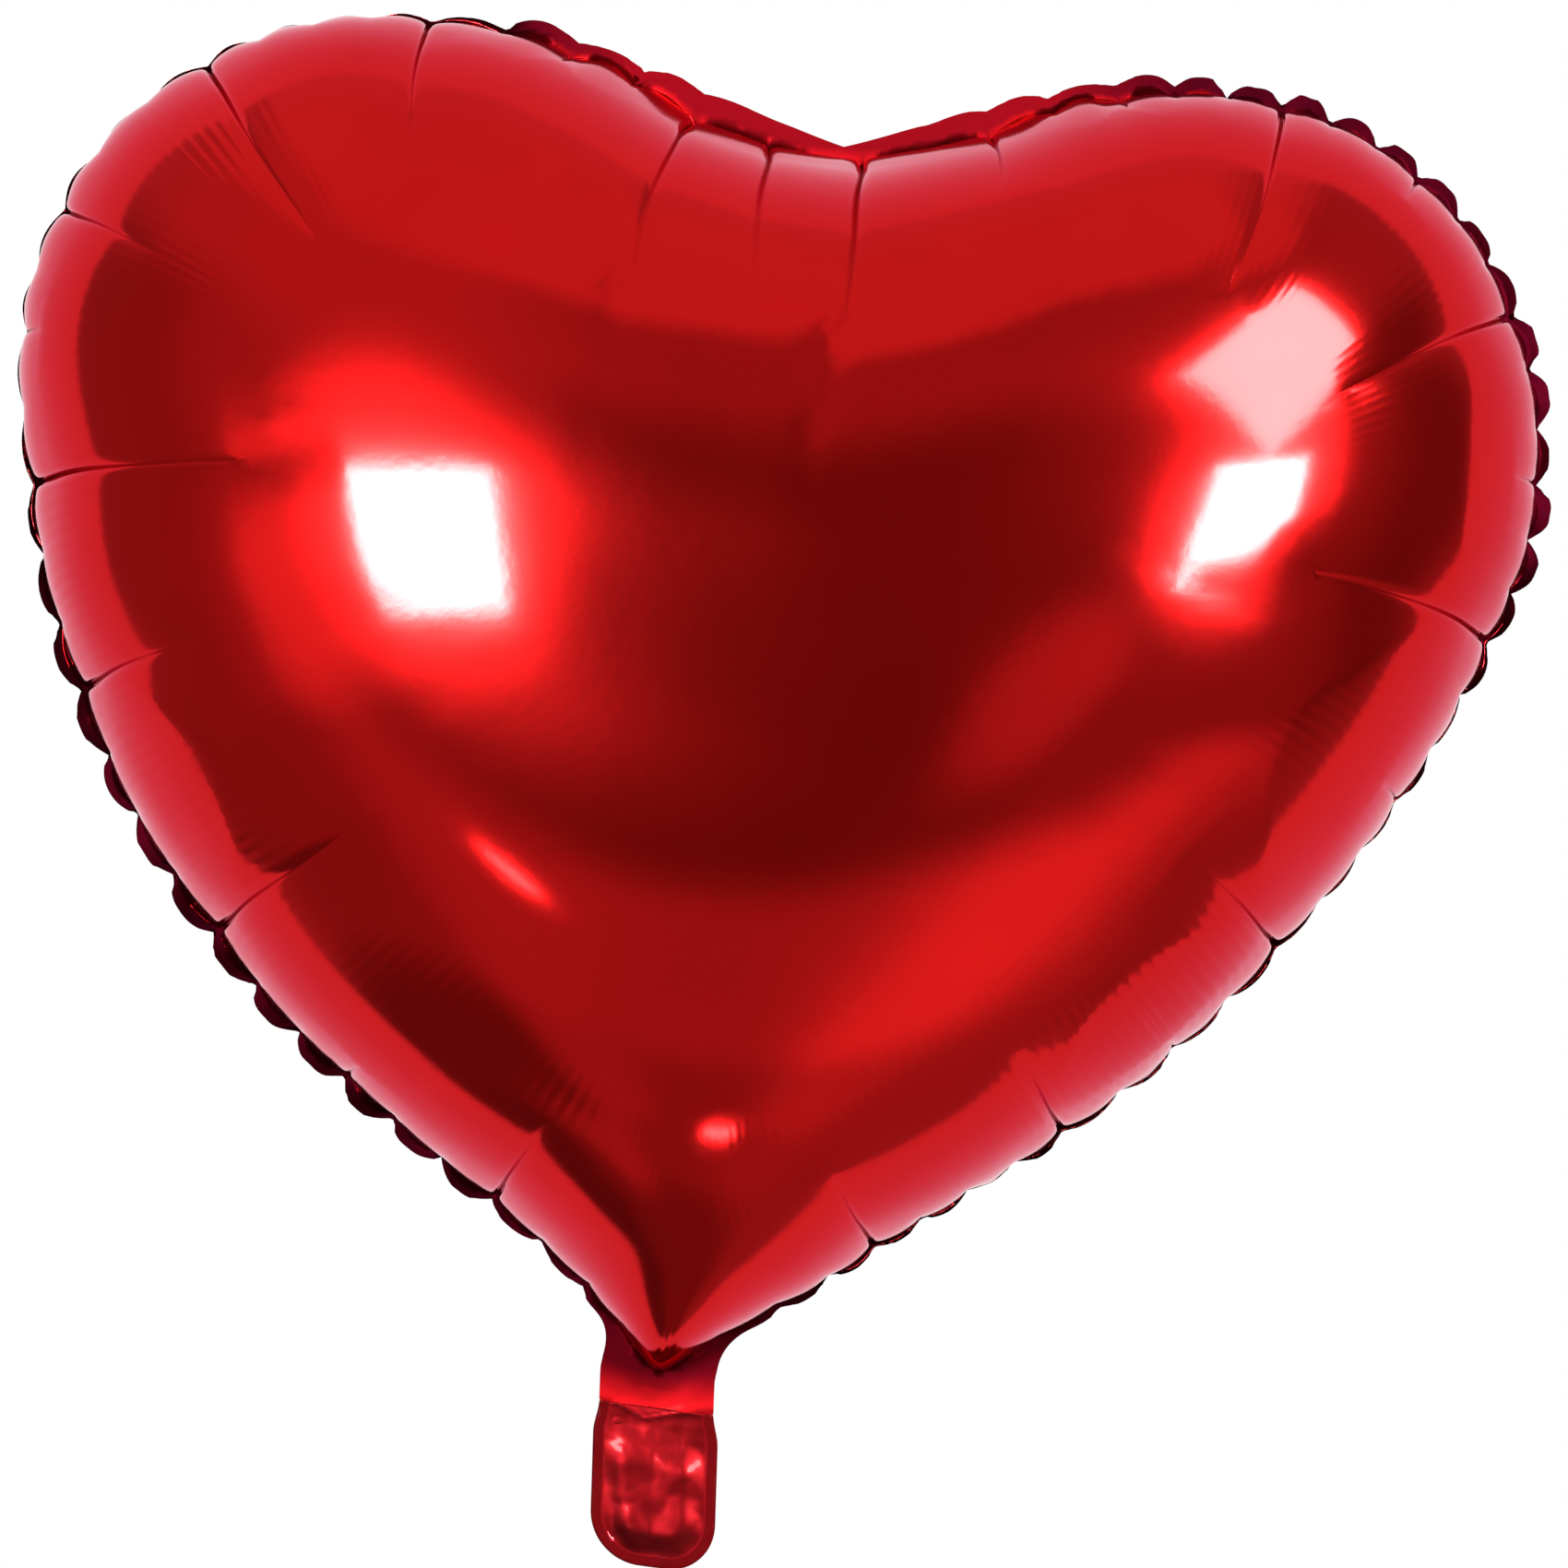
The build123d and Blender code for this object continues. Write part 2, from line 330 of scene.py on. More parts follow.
def pleat_dent(seam, s, deep):
    """Depth pressed into the film by the pleats at a place along the seam and a length of film in, and the
    painted shade along each pleat's line.
    """
    total = len(seam.bump)
    phase = seam.phase(s)
    width = seam.length / total
    dent = np.zeros_like(s)
    crease_shade = np.zeros_like(s)
    base = np.floor(phase).astype(int)
    for step in range(-2, 4):
        turn = base + step
        index = turn % total
        reach = seam.reach[index]
        long = reach > LONG_PLEAT
        wander = np.where(long, *WANDER) * np.sin(deep / 9 + 5 * seam.pucker[index])
        gap = (phase - turn) * width - seam.lean[index] * deep - wander * np.clip(deep / 30, 0, 1)
        fade = np.clip(1 - deep / reach, 0, 1) ** 0.7
        groove = 0.5 + 0.008 * deep
        slope = np.where(long, *DIP_WIDTH)
        sharp = np.exp(-np.sqrt((gap / groove) ** 2 + 0.01) + 0.1)
        soft = np.exp(-np.sqrt((gap / slope) ** 2 + 0.01))
        start = 1 - 0.25 * np.exp(-deep / 4)
        line_depth = np.where(long, LINE_DEPTH[0] / (1 + deep / LINE_FADE), LINE_DEPTH[1])
        hollow = np.where(long, HOLLOW, 0.0) * np.exp(-(gap / HOLLOW_WIDTH) ** 2) * smooth(deep, 4, 30)
        dent += seam.depth[index] * fade * start * (line_depth * sharp + 0.9 * soft + hollow)
        # painted shade along the pleat's sharp line, stronger for long pleats
        line = fade * np.exp(-(gap / (0.5 + 0.003 * deep)) ** 2)
        crease_shade = np.maximum(crease_shade, np.where(long, *LINE_SHADE) * line)
    return dent, crease_shade


def value_noise(x, y, seed, cells=64):
    """Smooth repeatable noise from -1 to 1 that repeats after so many cells."""
    grid = np.random.default_rng(seed).uniform(-1, 1, (cells, cells))
    i, j = np.floor(x).astype(int), np.floor(y).astype(int)
    u, v = smooth(x - i, 0, 1), smooth(y - j, 0, 1)
    i, j = i % cells, j % cells
    k, m = (i + 1) % cells, (j + 1) % cells
    low = grid[i, j] * (1 - u) + grid[k, j] * u
    high = grid[i, m] * (1 - u) + grid[k, m] * u
    return low * (1 - v) + high * v


# Where the fine gathers run: place along the seam (0 to 1 as in PLEATS), half width, strength,
# and the lengths of film between which they lie.
GATHERS = (
    (0.735, 0.10, 3.6, 26, 68), (0.58, 0.09, 0.7, 26, 70), (0.875, 0.05, 0.9, 18, 46),
    (0.46, 0.05, 0.6, 24, 58), (0.30, 0.05, 0.8, 22, 60), (-0.02, 0.12, 0.55, 60, 94),
    (-0.305, 0.045, 1.5, 30, 66), (-0.44, 0.06, 0.5, 22, 50), (-0.56, 0.07, 1.6, 18, 46),
    (-0.69, 0.10, 1.5, 24, 62), (-0.84, 0.06, 0.9, 18, 50),
)
GATHER_ANYWHERE = 0.12
GATHERS_BEGIN, GATHERS_END = (12, 26), (84, 96)


def ripples(s, deep, seed, length):
    """Fine gathers that run in from the seam's roll."""
    share = (s / length * 2 + 1) % 2 - 1
    strength = np.full_like(s, GATHER_ANYWHERE)
    for place, half, most, low, high in GATHERS:
        near = 1 - smooth(np.abs(share - place), 0.35 * half, half)
        band = smooth(deep, low - 8, low + 6) * (1 - smooth(deep, high - 14, high + 10))
        strength = np.maximum(strength, most * near * band)
    wander = 0.35 * value_noise(s / 17, deep / 38, seed + 1)
    vary = 1 + 0.4 * value_noise(s / 9, deep / 25, seed)
    fade = smooth(deep, *GATHERS_BEGIN) * (1 - smooth(deep, *GATHERS_END))
    return RIPPLE_HEIGHT * fade * strength * vary * np.sin(2 * math.pi * (s / RIPPLE + wander))


def swells(p, seed):
    """Broad soft unevenness of the blown-up film."""
    x, z = p[:, 0] + 400, p[:, 1] + 400
    return 0.55 * value_noise(x / 85, z / 85, seed) + 0.16 * value_noise(x / 34, z / 34, seed + 5)


# ================================================================ where each point really goes
LEFT_WIDER, RIGHT_NARROWER = 1.056, 0.978
LOBE_LIFT = 6.5          # how much higher the right lobe stands
LOWER_BOW = -5.6         # how far the lower half is bowed to the left
NECK_ASIDE = -6.2        # how far the neck stands to the left
TAIL_LEAN = 0.10         # sideways lean of the tail for each millimetre down
TIP_FULLNESS, TIP_FULL_WIDTH, TIP_FULL_RISE = 8.0, 17, 3.5
# heights between which the lift and the bow set in and the bow ends, and depths for the neck's shift
LIFT_BEGIN, BOW_BEGIN, BOW_END, NECK_BEGIN = (190, 330), (0, 70), (110, 250), (-34, 2)


def settle(points):
    """The real balloon's unevenness: a wider left lobe, a higher right one, a bow and a leaning tail."""
    x, y, z = points.T
    blend = smooth(x, -60, 60)
    wide = x * (LEFT_WIDER * (1 - blend) + RIGHT_NARROWER * blend)
    right = np.clip((x + np.sqrt(x * x + 64)) / 120, 0, 1)
    lift = LOBE_LIFT * np.sin(right * math.pi / 2) * smooth(z, *LIFT_BEGIN)
    lean = NECK_ASIDE * smooth(-z, *NECK_BEGIN) + TAIL_LEAN * np.clip(-z, 0, None)
    lean += LOWER_BOW * smooth(z, *BOW_BEGIN) * (1 - smooth(z, *BOW_END))
    wide = np.where(z < 40, x + (wide - x) * smooth(z, 0, 40), wide)
    return np.c_[wide + lean, y, z + lift]


# the crease pressed across the neck: its line from side to side, depth and width
CREASE_X, CREASE_Z, CREASE_DEPTH, CREASE_WIDTH = (-15, -2.5, 14.5), (-6.4, -11.1, -6.4), 0.55, 0.8


def crumple(p, seed=31):
    """How far the flat neck and tail are crumpled out of their plane, the same for every layer."""
    x, z = p[:, 0] + 60, p[:, 1] + 90
    broad = 0.55 * value_noise(x / 14, z / 12, seed)
    ridge = 0.4 * (0.5 - np.abs(value_noise(x / 7.5 + z / 19, z / 8.5, seed + 1)))
    fine = 0.13 * (0.5 - np.abs(value_noise(x / 3.4, z / 3.9, seed + 2)))
    line = np.interp(p[:, 0], CREASE_X, CREASE_Z)
    fold = CREASE_DEPTH * np.exp(-np.abs(p[:, 1] - line) / CREASE_WIDTH)
    return (broad + ridge + fine) * (1 - smooth(p[:, 1], -8, 5)) - fold


class Panel:
    """One foil panel: side is 1 for the front and -1 for the back."""

    def __init__(self, film, seam, ring, places, side):
        self.film, self.seam, self.ring, self.side = film, seam, ring, side
        self.s = places
        _, uphill = film.bowl(ring)
        self.out = -uphill / np.linalg.norm(uphill, axis=1)[:, None]

    def raise_film(self, p, s, deep, out):
        """Plan points on the film taken to their place on the pleated dome, and the painted shade there.
        """
        bowl, gradient = self.film.bowl(p)
        steep = np.linalg.norm(gradient, axis=1) + 1e-9
        r = np.sqrt(np.clip(1 - bowl, 1e-6, 1))
        rate = r / np.sqrt(np.clip(1 - r**4, 1e-5, None)) / 2 / self.film.ROUND_RISE * HALF_DEPTH * steep
        uphill = gradient / steep[:, None] * rate[:, None]
        normal = np.c_[-uphill[:, 0], np.full(len(p), -1.0), -uphill[:, 1]]
        normal /= np.linalg.norm(normal, axis=1)[:, None]
        place = np.c_[p[:, 0], -self.film.height(p) - 0.2, p[:, 1]]
        from_tip = np.hypot(p[:, 0], p[:, 1] - self.ring[:, 1].min())
        set_in = 1 - np.exp(-deep / TIP_FULL_RISE)
        place[:, 1] -= TIP_FULLNESS * set_in * np.exp(-((from_tip / TIP_FULL_WIDTH) ** 2))
        seed = 3 if self.side > 0 else 13
        tip_gap = np.abs(s - self.seam.length / 2)
        dent, crease_shade = pleat_dent(self.seam, s, deep)
        dent = (dent - facet_ridge(self.seam, s, deep)) * (0.1 + 0.9 * smooth(tip_gap, 5, 28))
        # painted shade along the seam, where the film runs into the shaded flange
        rim = 1 - smooth(deep, 0.2, 1.6)
        crease_shade = np.maximum(crease_shade, 0.9 * flange_shade(s / self.seam.length) * rim)
        gathers = smooth(tip_gap, 8, 36) * ripples(s, deep, seed, self.seam.length)
        push = gathers + smooth(deep, 2, 40) * swells(p, seed + 20) - dent
        place += normal * push[:, None]
        place[:, 1] *= self.side
        out_shift, back_shift = seam_shift(self.seam, s)
        shift = out_shift * np.exp(-deep / SCALLOP_FADE)
        shift += cleft_swell(self.seam, s) * np.exp(-deep / CLEFT_FADE)
        place[:, 0] += out[:, 0] * shift
        place[:, 2] += out[:, 1] * shift
        place[:, 1] += back_shift * np.exp(-deep / BACK_FADE)
        place[:, 2] -= tip_swell(self.seam, s) * np.exp(-deep / TIP_FADE)
        return place, crease_shade

    def rows(self):
        """Plan points of each row, from the seam inwards, and their distance along the film."""
        deep = [0.0]
        lines = [self.ring]
        p = self.ring
        step = FIRST_ROW
        while deep[-1] < RIM_DEPTH:
            parts = 4
            for _ in range(parts):
                p = self.film.climb(p, step / parts)
            lines.append(p)
            deep.append(deep[-1] + step)
            step = min(ROW_STEP, step * ROW_GROWTH)
        return lines, deep


def inside(points, loop):
    """Which points lie inside the closed loop."""
    hit = np.zeros(len(points), bool)
    for (x0, z0), (x1, z1) in zip(loop, np.roll(loop, -1, 0)):
        if z0 == z1:
            continue
        crosses = (z0 > points[:, 1]) != (z1 > points[:, 1])
        hit ^= crosses & (points[:, 0] < (x1 - x0) * (points[:, 1] - z0) / (z1 - z0) + x0)
    return hit


def hexagonal(low, high, step):
    """An even triangular spread of points over a rectangle."""
    rows = np.arange(low[1], high[1], step * math.sqrt(3) / 2)
    across = np.arange(low[0], high[0], step)
    lines = [np.c_[across + step / 2 * (i % 2), np.full(len(across), z)] for i, z in enumerate(rows)]
    return np.vstack(lines)


def triangulate(loops, extra):
    """Triangles that fill the area between closed loops, through the extra points."""
    points = np.vstack([*loops, extra])
    edges, start = [], 0
    for loop in loops:
        n = len(loop)
        edges += [(start + i, start + (i + 1) % n) for i in range(n)]
        start += n
    result = delaunay_2d_cdt([Vector(p) for p in points], edges, [], 1, 1e-7)
    plan = np.array([tuple(p) for p in result[0]])
    faces = np.array([tuple(f) for f in result[2]])
    source = [where[0] if where else -1 for where in result[3]]
    return plan, faces, np.array(source)


class Nearest:
    """The nearest point of a line of points, through a k-d tree."""

    def __init__(self, points):
        self.tree = KDTree(len(points))
        for i, p in enumerate(points):
            self.tree.insert((p[0], p[1], 0), i)
        self.tree.balance()

    def find(self, points):
        found = [self.tree.find((p[0], p[1], 0)) for p in points]
        return np.array([f[1] for f in found]), np.array([f[2] for f in found])


# ================================================================ meshes
def make_mesh(name, points, faces, uv=None, crease_shade=None):
    """A smooth-shaded object from points in millimetres."""
    mesh = bpy.data.meshes.new(name)
    faces = [tuple(int(i) for i in f) for f in faces]
    mesh.from_pydata([tuple(p) for p in points * MM], [], faces)
    mesh.update()
    if uv is not None:
        layer = mesh.uv_layers.new(name="film")
        corners = np.empty(len(mesh.loops), np.int32)
        mesh.loops.foreach_get("vertex_index", corners)
        layer.data.foreach_set("uv", (uv[corners] * MM).ravel())
    # painted shade of the creases and the flange, which the foil material reads
    if crease_shade is not None:
        attribute = mesh.attributes.new("crease_shade", "FLOAT", "POINT")
        attribute.data.foreach_set("value", crease_shade.astype(np.float32))
    mesh.polygons.foreach_set("use_smooth", np.ones(len(mesh.polygons), bool))
    obj = bpy.data.objects.new(name, mesh)
    bpy.context.scene.collection.objects.link(obj)
    return obj


def flange_points(ring, tree):
    """The flange and neck outside the seam, shared by both panels and the weld band."""
    outer = spaced(np.vstack([whole(flange_half()), [[0, CLEFT_Z]]]), OUTLINE_STEP)[:-1]
    low, high = outer.min(0), outer.max(0)
    extra = hexagonal(low, high, FLANGE_STEP)
    _, gap_outer = Nearest(outer).find(extra)
    _, gap_ring = tree.find(extra)
    keep = inside(extra, outer) & ~inside(extra, ring)
    keep &= (gap_outer > 0.6) & (gap_ring > 0.6)
    plan, faces, _ = triangulate([ring, outer], extra[keep])
    middle = plan[faces].mean(1)
    faces = faces[~inside(middle, ring)]
    return plan, faces


# The flange between two pleats: its least width and what a lobe adds, as shares of its flat width,
# and how the lobes differ in size.
FLANGE_LEAST, FLANGE_LOBE = 0.20, 0.46
LOBE_MEAN, LOBE_PLAY = 0.85, 0.4


def flange_place(panel, seam, plan, index, gap):
    """Wavy place of the flange's points: they ride on the scalloped seam, in lobes between pleats."""
    s = panel.s[index]
    out_shift, back_shift = seam_shift(seam, s)
    out = panel.out[index]
    wavy = waviness(seam, s, (22, 44), (78, 92))
    phase = seam.phase(s)
    turn = phase.astype(int) % len(seam.bump)
    share = phase - np.floor(phase)
    hump = np.sin(math.pi * share)
    lobe = hump**0.6 * (1 - 0.13 * seam.pucker[turn] * np.cos(4 * math.pi * share))
    lean, play = flange_lean(s / seam.length)
    tilt = (lean + play * seam.fold[turn] * hump) * wavy
    reach = np.minimum(gap, SEAL_WIDTH * 1.3)
    spread = 1 + wavy * (FLANGE_LEAST + FLANGE_LOBE * (LOBE_MEAN + LOBE_PLAY * seam.fold[turn]) * lobe - 1)
    across = reach * (spread * np.cos(tilt) - 1) + out_shift
    across += cleft_swell(seam, s) * (1 - smooth(gap, 0, 7))
    y = back_shift * (1 - 0.3 * reach / SEAL_WIDTH) + np.sin(tilt) * reach * spread
    y += crumple(plan) * smooth(gap, 0, 3)
    z = plan[:, 1] + out[:, 1] * across - tip_swell(seam, s) * (1 - smooth(gap, 0, 11))
    return np.c_[plan[:, 0] + out[:, 0] * across, y, z]


# How far the flange leans towards the back, in radians, by the share of the way round the seam, and
# how much that varies from lobe to lobe.
FLANGE_LEAN = (
    (0.00, 0.00, 0.0), (0.07, -0.08, 0.1), (0.12, 0.05, 0.3), (0.225, 0.05, 0.3), (0.25, 1.20, 0.4),
    (0.30, 1.38, 0.3), (0.36, 1.38, 0.3), (0.45, 1.25, 0.3), (0.47, 0.60, 0.1), (0.49, 0.00, 0.0),
    (0.53, 0.00, 0.0),
    (0.56, 0.15, 0.3), (0.60, 0.10, 0.4), (0.66, 0.15, 0.5), (0.71, 0.60, 0.5), (0.74, 1.20, 0.4),
    (0.77, 1.55, 0.1), (0.90, 1.55, 0.0), (0.922, 0.80, 0.0), (0.935, 0.00, 0.0), (1.00, 0.00, 0.0),
)
# How strongly the flange film is darkened with painted shade, by the same share.
FLANGE_SHADE = (
    (0.0, 0.85), (0.05, 0.85), (0.09, 1.0), (0.47, 1.0), (0.49, 0.9), (0.51, 0.9), (0.53, 1.0),
    (0.91, 1.0), (0.95, 0.85), (1.0, 0.85),
)


def flange_shade(share):
    return np.interp(share, *zip(*FLANGE_SHADE))


def flange_lean(share):
    shares, leans, plays = zip(*FLANGE_LEAN)
    return np.interp(share, shares, leans), np.interp(share, shares, plays)


def build_panel(name, side, film, seam, ring, places, flange):
    panel = Panel(film, seam, ring, places, side)
    lines, deeps = panel.rows()
    columns = len(ring)
    points, film_uv, crease_shades = [], [], []
    for line, deep in zip(lines, deeps):
        full = np.full(columns, deep)
        place, crease_shade = panel.raise_film(line, panel.s, full, panel.out)
        points.append(place)
        crease_shades.append(crease_shade)
        film_uv.append(np.c_[panel.s, full])
    here = np.arange(columns)
    beside = (here + 1) % columns
    faces = []
    for row in range(len(lines) - 1):
        low, high = row * columns, (row + 1) * columns
        faces += np.c_[low + here, high + here, high + beside, low + beside].tolist()
    # the middle of the panel, filled inside the last row
    last = lines[-1]
    extra = hexagonal(last.min(0), last.max(0), MIDDLE_STEP)
    extra = extra[inside(extra, last)]
    index, gap = Nearest(last).find(extra)
    keep = gap > MIDDLE_STEP * 0.6
    extra, index, gap = extra[keep], index[keep], gap[keep]
    _, middle, source = triangulate([last], extra)
    place, crease_shade = panel.raise_film(extra, panel.s[index], deeps[-1] + gap, panel.out[index])
    new, old = len(lines) * columns + source - columns, (len(lines) - 1) * columns + source
    faces += np.where(source >= columns, new, old)[middle].tolist()
    points.append(place)
    crease_shades.append(crease_shade)
    film_uv.append(np.c_[panel.s[index], deeps[-1] + gap])
    # the flange outside the seam
    plan, flat, source, index, gap = flange
    place = flange_place(panel, seam, plan, index, gap)
    place[:, 1] -= side * LAYER_GAP
    offset = sum(len(p) for p in points)
    where = np.where(source < columns, source, offset + np.arange(len(plan)))
    faces += where[flat].tolist()
    points.append(place)
    # painted shade over the flange, a little lighter on the neck
    neck = smooth(-plan[:, 1], -4, 8)
    crease_shades.append(flange_shade(panel.s[index] / seam.length) * (1 - 0.2 * neck))
    film_uv.append(np.c_[panel.s[index], -gap])
    points, film_uv, crease_shades = np.vstack(points), np.vstack(film_uv), np.concatenate(crease_shades)
    used = np.zeros(len(points), bool)
    used[np.concatenate([np.array(f) for f in faces])] = True
    renumber = np.cumsum(used) - 1
    step = -1 if side > 0 else 1
    faces = [renumber[f[::step]] for f in faces]
    return make_mesh(name, settle(points[used]), faces, film_uv[used], crease_shades[used])


def balloon():
    loop = whole(weld_half())
    loop = np.vstack([loop, loop[:1]])
    along = np.r_[0, np.cumsum(np.linalg.norm(np.diff(loop, axis=0), axis=1))]
    seam = Seam(along[-1])
    places = seam.columns()
    ring = np.c_[np.interp(places, along, loop[:, 0]), np.interp(places, along, loop[:, 1])]
    film = Film(spaced(loop, FILM_EDGE_STEP)[:-1])
    tree = Nearest(ring)
    plan, faces = flange_points(ring, tree)
    index, gap = tree.find(plan)
    order = np.arange(len(plan))
    source = np.where(order < len(ring), order, len(ring) + 1)
    flange = (plan, faces, source, index, gap)
    front = build_panel("front_foil", 1, film, seam, ring, places, flange)
    back = build_panel("back_foil", -1, film, seam, ring, places, flange)
    band = build_band("seam_band", Panel(film, seam, ring, places, 1), seam, flange)
    return front, back, band


def only_used(faces, count):
    """The points that some faces use, and the faces counted on those points alone."""
    used = np.unique(faces)
    renumber = np.full(count, -1)
    renumber[used] = np.arange(len(used))
    return used, renumber[faces]


def close_sheet(top, bottom, faces):
    """Both skins of a thin sheet and the walls between them, as one closed set of faces."""
    count = len(top)
    edges = np.vstack([faces[:, [0, 1]], faces[:, [1, 2]], faces[:, [2, 0]]])
    ordered = np.sort(edges, axis=1)
    _, first, uses = np.unique(ordered, axis=0, return_index=True, return_counts=True)
    border = edges[first[uses == 1]]
    walls = np.c_[border[:, 1], border[:, 0], border[:, 0] + count, border[:, 1] + count]
    skins = [tuple(f) for f in faces] + [tuple(f[::-1] + count) for f in faces]
    return np.vstack([top, bottom]), skins + [tuple(w) for w in walls]


def build_band(name, panel, seam, flange):
    """The fused sealant between the two flanges: a thin wavy band that stops at the valve."""
    plan, faces, _, index, gap = flange
    middle = plan[faces].mean(1)
    faces = faces[~((np.abs(middle[:, 0]) < VALVE_HALF_WIDTH + 2) & (middle[:, 1] < 20))]
    used, faces = only_used(faces, len(plan))
    place = flange_place(panel, seam, plan[used], index[used], gap[used])
    place = settle(place)
    points, closed = close_sheet(place - [0, BAND_HALF, 0], place + [0, BAND_HALF, 0], faces)
    return make_mesh(name, points, closed)


# ================================================================ the tail
def tail_outline():
    """The tail tab: narrow where it leaves the neck, wider below, with a rounded end."""
    share = np.linspace(0, 1, 15)
    widen = NECK_HALF_WIDTH + (TAIL_HALF_WIDTH - NECK_HALF_WIDTH) * smooth(share, 0, 1)
    side = np.c_[widen, TAIL_TOP_Z - share * 8]
    corner = arc(TAIL_HALF_WIDTH - TAIL_CORNER, TAIL_END_Z + TAIL_CORNER, TAIL_CORNER, 0, -90, 1.0)
    half = np.vstack([[[0, TAIL_TOP_Z]], side, corner, [[0, TAIL_END_Z]]])
    loop = whole(half)
    return spaced(np.vstack([loop, loop[:1]]), TAIL_OUTLINE_STEP)[:-1]


def tail_edge(loop, plan):
    """Distance to the tail's sealed sides and end; its open top doesn't count."""
    sealed = loop[loop[:, 1] < TAIL_TOP_Z - 0.1]
    return Nearest(sealed).find(plan)[1]


TAIL_PUFF, TAIL_WRINKLE = 1.6, 0.3


def tail_layer(name, side, hole):
    """One crumpled layer of the tail tab, a little puffed between its side seals."""
    loop = tail_outline()
    loops = [loop]
    extra = hexagonal(loop.min(0), loop.max(0), TAIL_STEP)
    keep = inside(extra, loop) & (Nearest(loop).find(extra)[1] > 0.5)
    if hole:
        turn = np.linspace(0, 2 * math.pi, 41)[:-1]
        rim = np.c_[FILL_RADIUS * np.cos(turn), FILL_Z + FILL_RADIUS * np.sin(turn)]
        loops.append(rim)
        keep &= np.hypot(extra[:, 0], extra[:, 1] - FILL_Z) > FILL_RADIUS + 0.45
    plan, faces, _ = triangulate(loops, extra[keep])
    if hole:
        faces = faces[~inside(plan[faces].mean(1), loops[1])]
    edge = tail_edge(loop, plan)
    puff = TAIL_PUFF * smooth(edge, 2.5, 9) * smooth(-plan[:, 1], 13, 24)
    own = TAIL_WRINKLE * value_noise(plan[:, 0] / 5 + 9, plan[:, 1] / 6 + 20, 51 + side)
    own *= smooth(edge, 1, 5) * smooth(-plan[:, 1], 9, 14)
    y = crumple(plan) - side * (0.2 + puff + own)
    outer = np.c_[plan[:, 0], y, plan[:, 1]]
    inner = outer + [0, side * FOIL_THICKNESS, 0]
    points, closed = close_sheet(outer, inner, faces)
    if side > 0:
        closed = [f[::-1] for f in closed]
    uv = np.c_[plan[:, 0] + 2000, edge - TAIL_SEAL]
    return make_mesh(name, settle(points), closed, np.vstack([uv, uv]))


def tail_seal():
    """The fused sealant round the tail's sides and end, between its two layers."""
    loop = tail_outline()
    extra = hexagonal(loop.min(0), loop.max(0), TAIL_SEAL_STEP)
    keep = inside(extra, loop) & (Nearest(loop).find(extra)[1] > 0.5)
    plan, faces, _ = triangulate([loop], extra[keep])
    faces = faces[tail_edge(loop, plan[faces].mean(1)) < TAIL_SEAL]
    used, faces = only_used(faces, len(plan))
    plan = plan[used]
    middle = np.c_[plan[:, 0], crumple(plan), plan[:, 1]]
    half = np.array([0, BAND_HALF, 0])
    points, closed = close_sheet(middle - half, middle + half, faces)
    return make_mesh("tail_seal", settle(points), closed)


def film_strip(name, node):
    """A valve film where it lies in the crumpled neck, in place of its flat solid."""
    low, high = (np.array(corner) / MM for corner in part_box(node))
    across = np.linspace(low[0], high[0], VALVE_COLUMNS)
    along = np.linspace(low[2], high[2], max(4, int((high[2] - low[2]) / VALVE_ROW_STEP)))
    grid = np.array([(x, z) for z in along for x in across])
    count = len(across)
    faces = []
    for row in range(len(along) - 1):
        for i in range(count - 1):
            a = row * count + i
            faces += [(a, a + 1, a + count + 1), (a, a + count + 1, a + count)]
    middle = (low[1] + high[1]) / 2 * FILM_SQUEEZE
    y = crumple(grid) * smooth(-grid[:, 1], -6.5, -3) + middle
    half = np.array([0, FILM_HALF, 0])
    place = np.c_[grid[:, 0], y, grid[:, 1]]
    points, closed = close_sheet(place - half, place + half, np.array(faces))
    return make_mesh(name, settle(points), closed)


# ================================================================ finishes
class Nodes:
    """A node tree and the few helpers that its recipes use."""

    def __init__(self, tree):
        self.tree = tree

    def node(self, kind, **values):
        made = self.tree.nodes.new(kind)
        for key, value in values.items():
            setattr(made, key, value)
        return made

    def feed(self, value, socket):
        """A socket set to a number or a colour, or linked to another node's output."""
        if isinstance(value, bpy.types.NodeSocket):
            self.tree.links.new(value, socket)
        else:
            socket.default_value = (*value, 1) if isinstance(value, tuple) else value

    def ramp(self, source, low, high, least=0.0, most=1.0):
        made = self.node("ShaderNodeMapRange", interpolation_type="SMOOTHSTEP")
        self.feed(source, made.inputs["Value"])
        for end, value in (("From Min", low), ("From Max", high), ("To Min", least), ("To Max", most)):
            self.feed(value, made.inputs[end])
        return made.outputs["Result"]

    def math(self, operation, *values):
        made = self.node("ShaderNodeMath", operation=operation)
        for value, socket in zip(values, made.inputs):
            self.feed(value, socket)
        return made.outputs[0]

    def mix(self, factor, a, b, kind="FLOAT"):
        """One number or colour mixed into another."""
        first, result = (6, 2) if kind == "RGBA" else (2, 0)
        made = self.node("ShaderNodeMix", data_type=kind)
        self.feed(factor, made.inputs["Factor"])
        self.feed(a, made.inputs[first])
        self.feed(b, made.inputs[first + 1])
        return made.outputs[result]


